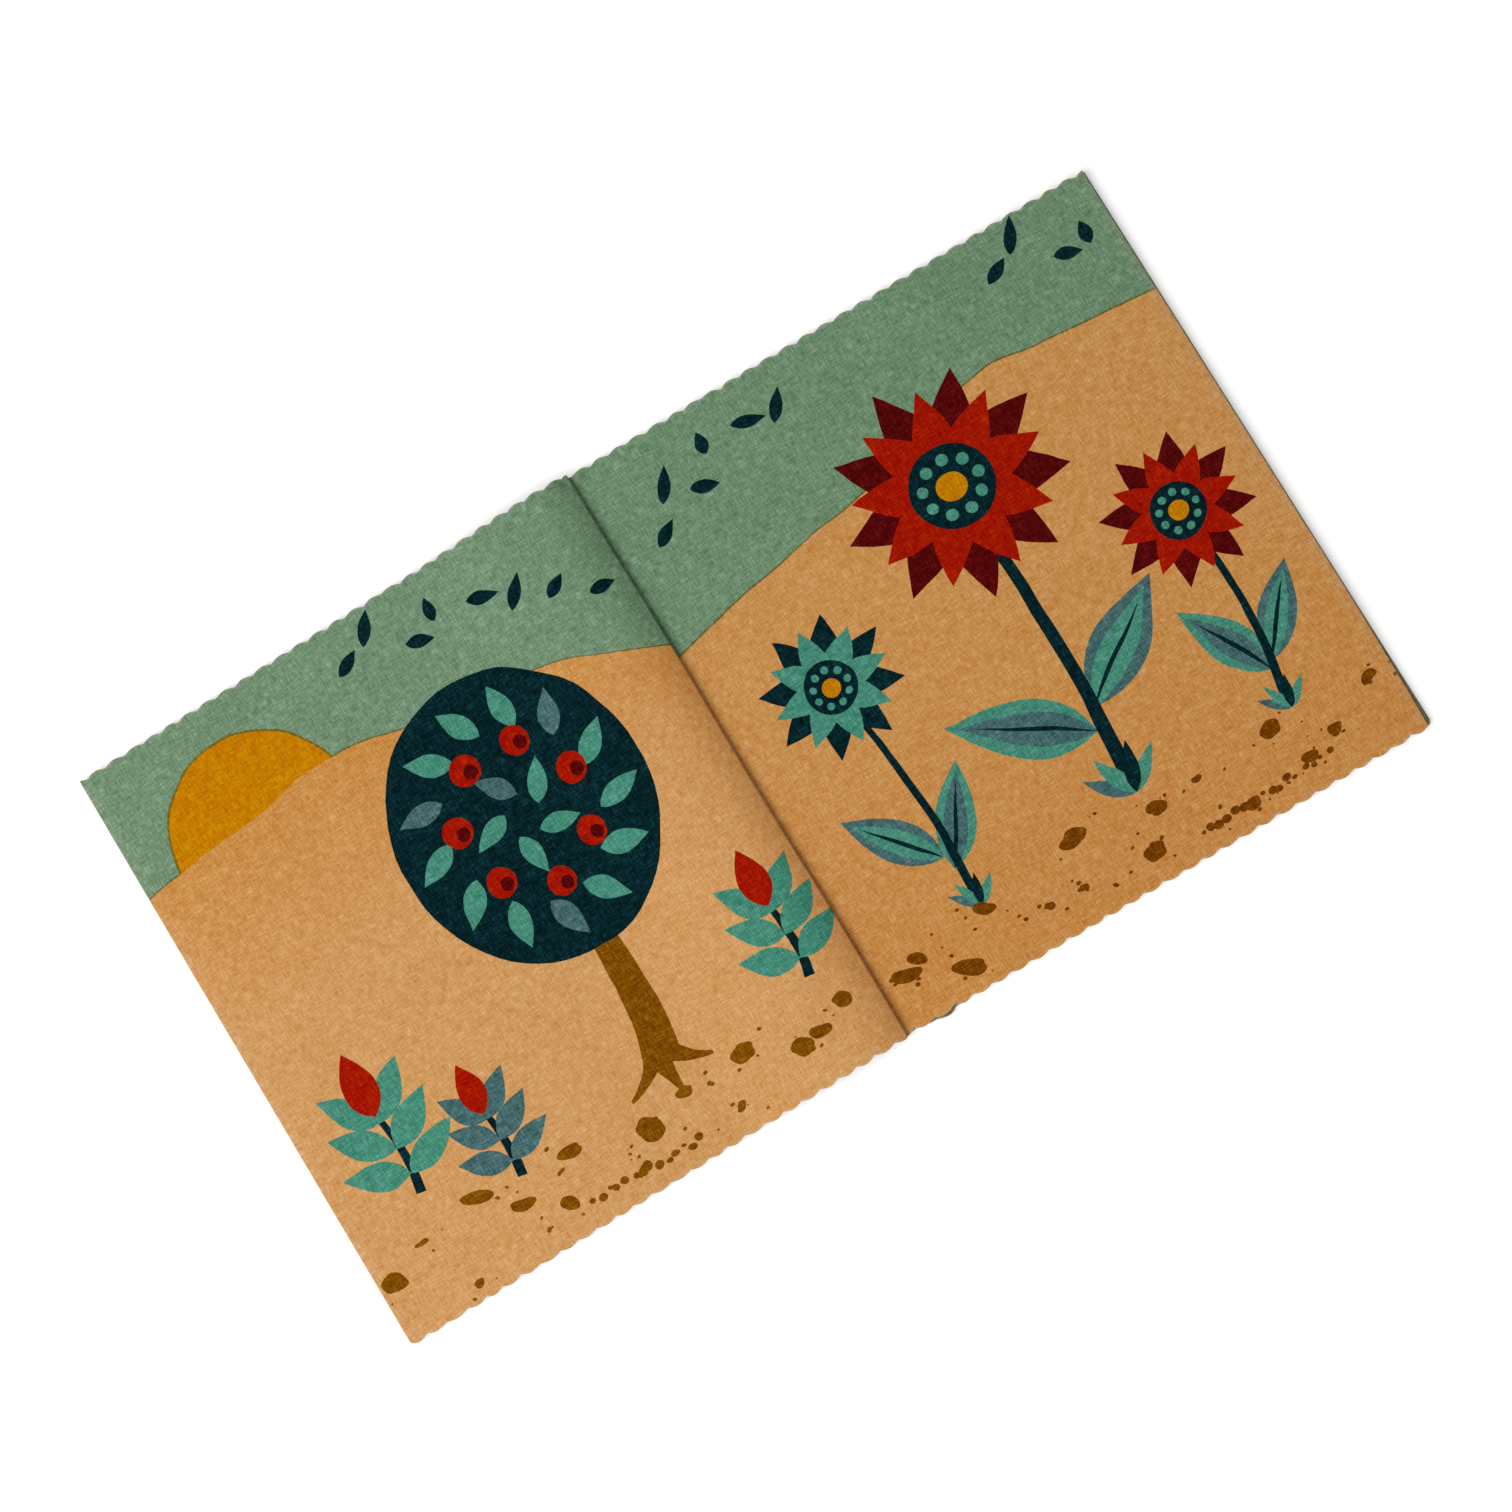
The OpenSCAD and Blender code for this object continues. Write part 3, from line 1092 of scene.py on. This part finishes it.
# Painted shade: the ramp darkens the thread where the twist sinks into a groove.
thread_colour_and_shade = thread_tree.nodes.new("ShaderNodeValToRGB")
thread_colour_and_shade.color_ramp.elements[0].color = (0.30, 0.20, 0.09, 1)
thread_colour_and_shade.color_ramp.elements[1].color = (0.58, 0.42, 0.22, 1)
thread_tree.links.new(twist.outputs["Fac"], thread_colour_and_shade.inputs["Fac"])
thread_tree.links.new(thread_colour_and_shade.outputs[0], thread_surface.inputs["Base Color"])
thread_bump = thread_tree.nodes.new("ShaderNodeBump")
thread_bump.inputs["Strength"].default_value = 0.6
thread_bump.inputs["Distance"].default_value = 0.0001
thread_tree.links.new(twist.outputs["Fac"], thread_bump.inputs["Height"])
thread_tree.links.new(thread_bump.outputs[0], thread_surface.inputs["Normal"])
stitching = frame["nodes"]["spine_stitching"]
stitching.data.materials.clear()
stitching.data.materials.append(thread)
print("stitching finished in twisted thread")

# %% [markdown]
# ## The table
# The book lies on a plain white table. More light would make the table white but also bleach the
# cloth, so the table glows a little, and only for rays that come from the camera or from a shiny
# surface. Near the book the glow is weak, so the book's shadow stays. Farther out the table turns
# into the white of the background.

# %% Rays that see the background
def seen_rays(tree):
    rays = tree.nodes.new("ShaderNodeLightPath")
    mirrored = sums(tree, "MAXIMUM", rays.outputs["Is Glossy Ray"], rays.outputs["Is Transmission Ray"])
    return sums(tree, "MAXIMUM", rays.outputs["Is Camera Ray"], mirrored)


# %% Floor
floor_reach = 3.0
floor_bm = bmesh.new()
bmesh.ops.create_grid(floor_bm, x_segments=1, y_segments=1, size=floor_reach)
floor_mesh = bpy.data.meshes.new("floor")
floor_bm.to_mesh(floor_mesh)
floor_bm.free()
floor = bpy.data.objects.new("floor", floor_mesh)
bpy.context.scene.collection.objects.link(floor)
print(f"table {2 * floor_reach:.0f} m wide")

# %% White of the table
paper = bpy.data.materials.new("white table")
paper.use_nodes = True
paper_tree = paper.node_tree
paper_surface = paper_tree.nodes["Principled BSDF"]
paper_surface.inputs["Base Color"].default_value = (0.9, 0.9, 0.9, 1)
paper_surface.inputs["Roughness"].default_value = 1
paper_surface.inputs["Specular IOR Level"].default_value = 0
paper_surface.inputs["Emission Color"].default_value = (1, 1, 1, 1)
table_place = paper_tree.nodes.new("ShaderNodeTexCoord")
from_book = paper_tree.nodes.new("ShaderNodeVectorMath")
from_book.operation = "LENGTH"
paper_tree.links.new(table_place.outputs["Object"], from_book.inputs[0])
glow = paper_tree.nodes.new("ShaderNodeMapRange")
glow.inputs["From Min"].default_value = 0.25
glow.inputs["From Max"].default_value = 1.5
glow.inputs["To Min"].default_value = 0.3
glow.inputs["To Max"].default_value = 1
paper_tree.links.new(from_book.outputs["Value"], glow.inputs["Value"])
seen_glow = sums(paper_tree, "MULTIPLY", seen_rays(paper_tree), glow.outputs[0])
paper_tree.links.new(seen_glow, paper_surface.inputs["Emission Strength"])
floor_mesh.materials.append(paper)

# %% [markdown]
# ## Light and camera
# The studio light is soft. A large lamp on the left gives a little over half of the light, and an
# even white sky the rest, so the roll at the gutter is shaded gently. A small lamp would draw hard
# shadows, and a sky alone would hide the roll. The camera looks almost straight down, turned so that the
# spread runs up to the right. Its place was worked out from the corners of the spread.

# %% Sky and lamp
sky_light = 0.4
world = bpy.data.worlds.new("studio")
bpy.context.scene.world = world
world.use_nodes = True
sky_tree = world.node_tree
sky = sky_tree.nodes["Background"]
sky.inputs["Color"].default_value = (1, 1, 1, 1)
seen_sky = sums(sky_tree, "MULTIPLY", seen_rays(sky_tree), 1 - sky_light)
sky_tree.links.new(sums(sky_tree, "ADD", seen_sky, sky_light), sky.inputs["Strength"])
lamp_data = bpy.data.lights.new("window lamp", "AREA")
lamp_data.size = 1.1
lamp_data.energy = 20.2
lamp = bpy.data.objects.new("window lamp", lamp_data)
bpy.context.scene.collection.objects.link(lamp)
lamp.location = (-0.99, -0.2, 1.29)
lamp.rotation_euler = (-lamp.location).to_track_quat("-Z", "Y").to_euler()
bpy.context.scene.view_settings.view_transform = "Standard"
print(f"lamp of {lamp_data.size:.1f} m, {lamp.location.length:.2f} m from the book")

# %% Camera
camera_place = Vector((10.91, -61.56, 749.6)) * MM
camera_look = Vector((-0.0130, 0.0789, -0.9968)).normalized()
picture_up = Vector((0.5202, 0.8519, 0.0607))
camera_back = -camera_look
camera_right = picture_up.cross(camera_back).normalized()
camera_up = camera_back.cross(camera_right)
camera_turn = Matrix((camera_right, camera_up, camera_back)).transposed().to_4x4()
camera_data = bpy.data.cameras.new("camera")
camera_data.sensor_width = 36
camera_data.lens = 65.2
camera = bpy.data.objects.new("camera", camera_data)
bpy.context.scene.collection.objects.link(camera)
camera.matrix_world = Matrix.Translation(camera_place) @ camera_turn
bpy.context.scene.camera = camera
print(f"camera {camera_place.z:.2f} m over the table, lens {camera_data.lens:.0f} mm")

# %% [markdown]
# ## Finish
# Last, the scene is brought up to date.

# %% Finish
bpy.context.view_layer.update()
